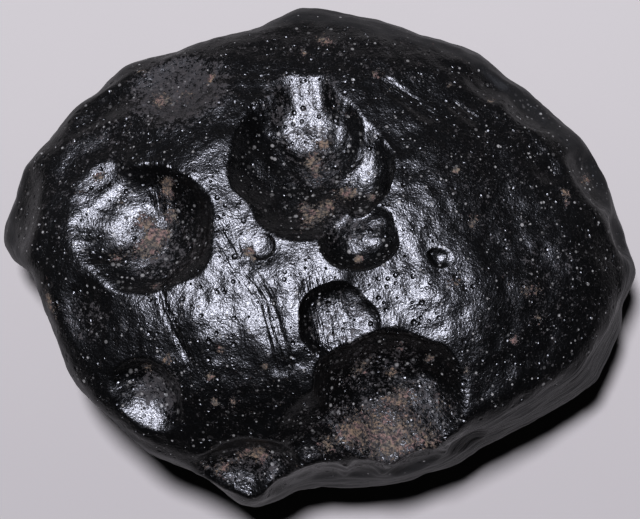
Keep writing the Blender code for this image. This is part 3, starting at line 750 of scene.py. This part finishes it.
def run_fields(points):
    """For each point, its distance across and along the nearest run of grooves, and its share."""
    across, along, share = np.zeros((3, len(points)))
    for run in RUNS:
        apart, side, ahead = run_place(points, run)
        inner, outer = (run.half_width * part for part in RUN_FADE)
        here = 1 - ease(inner, outer, apart)
        stronger = here > share
        across = np.where(stronger, side, across)
        along = np.where(stronger, ahead, along)
        share = np.maximum(share, here)
    return across, along, share * upper_share(points)


def store(mesh, name, fields):
    """Keep three values for each point, under a name that the material reads."""
    kept = mesh.attributes.new(name, "FLOAT_VECTOR", "POINT")
    kept.data.foreach_set("vector", np.column_stack(fields).astype(np.float32).ravel())


def carve_stone(mesh):
    bm = ball_mesh()
    points = carve(bm)
    write_points(bm, seat(points))
    bmesh.ops.recalc_face_normals(bm, faces=bm.faces[:])
    for face in bm.faces:
        face.smooth = True
    bm.to_mesh(mesh)
    bm.free()
    store(mesh, "soil", soil_fields(points))
    store(mesh, "grooves", run_fields(points))
    store(mesh, "form", form_fields(points))


def colour(hexcode):
    """An sRGB hex colour as the linear values that sockets take."""
    parts = [int(hexcode[at : at + 2], 16) / 255 for at in (1, 3, 5)]
    linear = [p / 12.92 if p <= 0.04045 else ((p + 0.055) / 1.055) ** 2.4 for p in parts]
    return (*linear, 1.0)


def per_mm(size):
    """Noise scale, in object metres, for features of the given size in mm."""
    return 1 / (size * MM)


def add(tree, kind, inputs=None, **settings):
    """A node with its settings; a socket given as an input is linked, anything else is set."""
    made = tree.nodes.new("ShaderNode" + kind)
    for name, value in settings.items():
        setattr(made, name, value)
    for name, value in (inputs or {}).items():
        if isinstance(value, bpy.types.NodeSocket):
            tree.links.new(value, made.inputs[name])
        else:
            made.inputs[name].default_value = value
    return made


def calc(tree, operation, *values):
    """One sum on sockets and numbers."""
    return add(tree, "Math", dict(enumerate(values)), operation=operation).outputs[0]


def times(tree, first, second):
    return calc(tree, "MULTIPLY", first, second)


def plus_times(tree, base, value, size):
    """The base, and value times size on top of it."""
    return calc(tree, "MULTIPLY_ADD", value, size, base)


def highest(tree, *values):
    top = values[0]
    for value in values[1:]:
        top = calc(tree, "MAXIMUM", top, value)
    return top


def between(tree, value, low, high, bottom=0.0, top=1.0):
    """Eases from bottom to top as the value goes from low to high."""
    ends = {"Value": value, "From Min": low, "From Max": high, "To Min": bottom, "To Max": top}
    return add(tree, "MapRange", ends, interpolation_type="SMOOTHSTEP").outputs[0]


def noise(tree, place, kind):
    inputs = {
        "Vector": place, "Scale": per_mm(kind.size), "Detail": kind.detail, "Roughness": kind.rough
    }
    return add(tree, "TexNoise", inputs).outputs["Fac"]


def centred(tree, value):
    """Noise moved to lie about zero."""
    return calc(tree, "SUBTRACT", value, 0.5)


def blend(tree, share, under, over):
    mix = add(tree, "Mix", {0: share, 6: under, 7: over}, data_type="RGBA", clamp_factor=True)
    return mix.outputs[2]


def stored(tree, name):
    """The three values kept in the mesh under a name."""
    kept = add(tree, "Attribute", attribute_name=name).outputs["Vector"]
    return add(tree, "SeparateXYZ", {"Vector": kept}).outputs


def bowls(tree, place, scatter):
    """Round bowls scattered one to a cell."""
    cells = add(tree, "TexVoronoi", {"Vector": place, "Scale": per_mm(scatter.cell)}).outputs
    chance = add(tree, "SeparateColor", {"Color": cells["Color"]}).outputs
    sizes = {"Value": chance[0], "From Min": scatter.empty, "To Max": scatter.widest}
    radius = add(tree, "MapRange", sizes).outputs[0]
    out = calc(tree, "DIVIDE", cells["Distance"], highest(tree, radius, TINY))
    depth = highest(tree, calc(tree, "SUBTRACT", 1.0, times(tree, out, out)), 0.0)
    return Bowl(depth, radius, chance[1], chance[2])


def bowl_height(tree, bowl):
    """How far in a bowl a point is sunk, for a bowl one cell in radius."""
    return times(tree, bowl.depth, bowl.radius)


def dots(tree, bowl, rim, rarity):
    """Dots of every brightness in the bowls, with fewer bright ones the higher rarity is."""
    bright = calc(tree, "POWER", bowl.chance, rarity)
    return times(tree, between(tree, bowl.depth, *rim), bright)


def run_lines(tree):
    """Grooves along the runs, deepest in their middle."""
    across, along, share = stored(tree, "grooves")
    line = add(tree, "CombineXYZ", {"X": across, "Y": along}).outputs[0]
    drawn = add(tree, "VectorMath", {0: line, 1: GROOVES_PER_MM}, operation="MULTIPLY").outputs[0]
    lines = add(tree, "TexNoise", {"Vector": drawn, "Scale": 1.0, "Detail": 2.0}).outputs["Fac"]
    return times(tree, lines, share)


def wall_lines(tree, place):
    """Flow bands of the glass, showing as fine level lines on the steep walls."""
    scale = [count / MM for count in BANDS_PER_MM]
    bands = add(tree, "Mapping", {"Vector": place, "Rotation": BAND_TILT, "Scale": scale})
    inputs = {"Vector": bands.outputs[0], "Scale": 1.0, "Detail": 3.0}
    return add(tree, "TexNoise", inputs).outputs["Fac"]


def soil_cover(tree, place, uneven):
    """Clay crust and dull film, each broken up by its own grain, and the grit in them."""
    clay, ochre, film = stored(tree, "soil")
    grit = plus_times(tree, noise(tree, place, GRIT), uneven, size=0.6)
    thick = calc(tree, "MINIMUM", clay, FULL_CLAY)
    crumbled = plus_times(tree, thick, centred(tree, noise(tree, place, CRUMBS)), size=2.8)
    patchy = plus_times(tree, film, uneven, size=1.8)
    flecked = plus_times(tree, patchy, centred(tree, noise(tree, place, MOTES)), size=1.7)
    return Soil(
        grit=between(tree, grit, *GRIT_SHOWS),
        crust=between(tree, crumbled, *CRUST_SHOWS),
        haze=between(tree, flecked, *FILM_SHOWS),
        ochre=plus_times(tree, ochre, uneven, size=3.0),
    )


def pale_grains(tree, place, flecks, etched, hollow):
    """Pale mineral grains: specks and larger crumbs in the etched skin, flecks in the hollows."""
    gathered = between(tree, noise(tree, place, GATHERING), *GATHERED_SPECKS)
    specks = dots(tree, bowls(tree, place, SPECKS), rim=(0.1, 0.5), rarity=2.4)
    crumbs = dots(tree, bowls(tree, place, BIG_SPECKS), rim=(0.1, 0.6), rarity=1.0)
    strewn = times(tree, highest(tree, times(tree, specks, gathered), crumbs), etched)
    sunk = times(tree, dots(tree, flecks, rim=(0.0, 0.9), rarity=1.8), hollow)
    return highest(tree, strewn, sunk)


def skin_height(tree, place, nubs, etch_pits, etched, banded, crust):
    """Height of the skin in metres, added up from its grain, pits, grooves, bands and crust."""
    dimples = bowls(tree, place, DIMPLES)
    rings = bowls(tree, place, RINGS)
    heights = (
        (times(tree, noise(tree, place, GRAIN), etched), GRAIN_HEIGHT),
        (times(tree, nubs, etched), NUB_HEIGHT),
        (noise(tree, place, SWELLS), SWELL_HEIGHT),
        (times(tree, bowl_height(tree, etch_pits), etched), -ETCH_DEPTH),
        (times(tree, bowl_height(tree, dimples), etched), -DIMPLE_DEPTH),
        (between(tree, rings.depth, *RING_WALL), -RING_DEPTH),
        (run_lines(tree), -GROOVE_DEPTH),
        (times(tree, wall_lines(tree, place), banded), BAND_HEIGHT),
        (crust, CRUST_HEIGHT),
    )
    total = 0.0
    for part, height in heights:
        total = plus_times(tree, total, part, height * MM)
    return total


def clay_colour(tree, soil, redness):
    """Grey-brown clay, ochre and red by turns, with dark grit."""
    tone = blend(tree, soil.ochre, colour(CLAY_GREY), colour(CLAY_OCHRE))
    tone = blend(tree, between(tree, redness, *RED_SHOWS), tone, colour(CLAY_RED))
    return blend(tree, soil.grit, colour(CLAY_GRIT), tone)


def skin_colour(tree, soil, grains, dust, redness):
    """Black glass, then film, pale grains, the dust in etch pits, and clay over all."""
    film = blend(tree, soil.grit, colour(FILM_GRIT), colour(FILM_PALE))
    skin = blend(tree, soil.haze, colour(GLASS), film)
    skin = blend(tree, grains, skin, colour(PALE_GRAIN))
    skin = blend(tree, dust, skin, colour(PIT_DUST))
    return blend(tree, soil.crust, skin, clay_colour(tree, soil, redness))


def new_material(name):
    material = bpy.data.materials.new(name)
    material.use_nodes = True
    return material, material.node_tree, material.node_tree.nodes["Principled BSDF"]


def stone_material():
    """Etched natural glass.  It gives the eye a black skin with a silky sheen, which flashes pale
    where it faces the lamp, broken by round etch pits, and goes dull where soil lies on it."""
    material, tree, shader = new_material("indochinite tektite glass, soil-etched")
    place = add(tree, "TexCoord").outputs["Object"]
    wall, banded, hollow = stored(tree, "form")
    etched = plus_times(tree, 1.0, wall, -WALL_SMOOTHNESS)
    nubs = noise(tree, place, NUBS)
    etch_pits = bowls(tree, place, ETCH_PITS)
    flecks = bowls(tree, place, FLECKS)
    soil = soil_cover(tree, place, centred(tree, nubs))
    dusty = between(tree, etch_pits.chance, *DUSTY_SHARE)
    dust = times(tree, between(tree, etch_pits.depth, *DUST_RIM), dusty)
    grains = pale_grains(tree, place, flecks, etched, hollow)
    film_dull = times(tree, soil.haze, FILM_DULLNESS)
    dull = highest(tree, soil.crust, dust, film_dull, times(tree, wall, WALL_DULLNESS))
    roughness = between(tree, dull, 0, 1, GLASS_ROUGHNESS, SOIL_ROUGHNESS)
    height = skin_height(tree, place, nubs, etch_pits, etched, banded, soil.crust)
    bump = add(tree, "Bump", {"Height": height, "Distance": 1.0, "Strength": 1.0}).outputs[0]
    skin = skin_colour(tree, soil, grains, dust, flecks.other_chance)
    shader.inputs["IOR"].default_value = GLASS_IOR
    tree.links.new(skin, shader.inputs["Base Color"])
    tree.links.new(roughness, shader.inputs["Roughness"])
    tree.links.new(bump, shader.inputs["Normal"])
    return material


def paper_material():
    """Plain matt paper, a pale ground with painted shade: it is a little greyer toward -Y, a
    painted falloff of the lamp's light.
    """
    material, tree, shader = new_material("matt paper")
    place = add(tree, "TexCoord").outputs["Object"]
    across = add(tree, "SeparateXYZ", {"Vector": place}).outputs[1]
    # painted shade: the paper's colour darkens toward -Y as if the lamp's light fell off there
    painted_light_share = between(tree, across, -PAPER_FALLOFF_SPAN * MM, PAPER_FALLOFF_SPAN * MM)
    tone = blend(tree, painted_light_share, colour(PAPER_SHADED_TONE), colour(PAPER_LIT_TONE))
    tree.links.new(tone, shader.inputs["Base Color"])
    shader.inputs["Roughness"].default_value = PAPER_ROUGHNESS
    shader.inputs["Specular IOR Level"].default_value = PAPER_GLOSS
    return material


def link(thing):
    bpy.context.scene.collection.objects.link(thing)
    return thing


def make_stone():
    stone = link(bpy.data.objects.new("tektite_stone", bpy.data.meshes.new("tektite_stone")))
    carve_stone(stone.data)
    stone.data.materials.append(stone_material())
    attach(stone, "root")
    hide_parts("tektite")


def make_floor():
    bm = bmesh.new()
    bmesh.ops.create_grid(bm, x_segments=1, y_segments=1, size=PAPER_REACH)
    mesh = bpy.data.meshes.new("paper")
    bm.to_mesh(mesh)
    bm.free()
    floor = link(bpy.data.objects.new("paper", mesh))
    mesh.materials.append(paper_material())


def make_light():
    """One soft lamp near the camera, which leaves the slopes black, in a dim room."""
    lamp = bpy.data.lights.new("lamp", "SUN")
    lamp.energy = LAMP_POWER
    lamp.color = LAMP_TINT
    lamp.angle = math.radians(LAMP_WIDTH)
    holder = link(bpy.data.objects.new("lamp", lamp))
    holder.rotation_euler = [math.radians(lean) for lean in LAMP_LEAN]
    world = bpy.data.worlds.new("dim room")
    bpy.context.scene.world = world
    world.use_nodes = True
    world.node_tree.nodes["Background"].inputs["Color"].default_value = colour(ROOM)


def make_camera():
    """Straight above the stone, looking down on it."""
    lens = bpy.data.cameras.new("camera")
    lens.sensor_width = SENSOR
    lens.lens = SENSOR * (CAMERA_HEIGHT - HEART * MM) / FRAME_WIDTH
    lens.shift_y = FRAME_SHIFT
    camera = link(bpy.data.objects.new("camera", lens))
    camera.location = (0, 0, CAMERA_HEIGHT)
    bpy.context.scene.camera = camera


make_stone()
make_floor()
make_light()
make_camera()
bpy.context.scene.view_settings.view_transform = "Standard"
bpy.context.scene.view_settings.look = "Medium High Contrast"
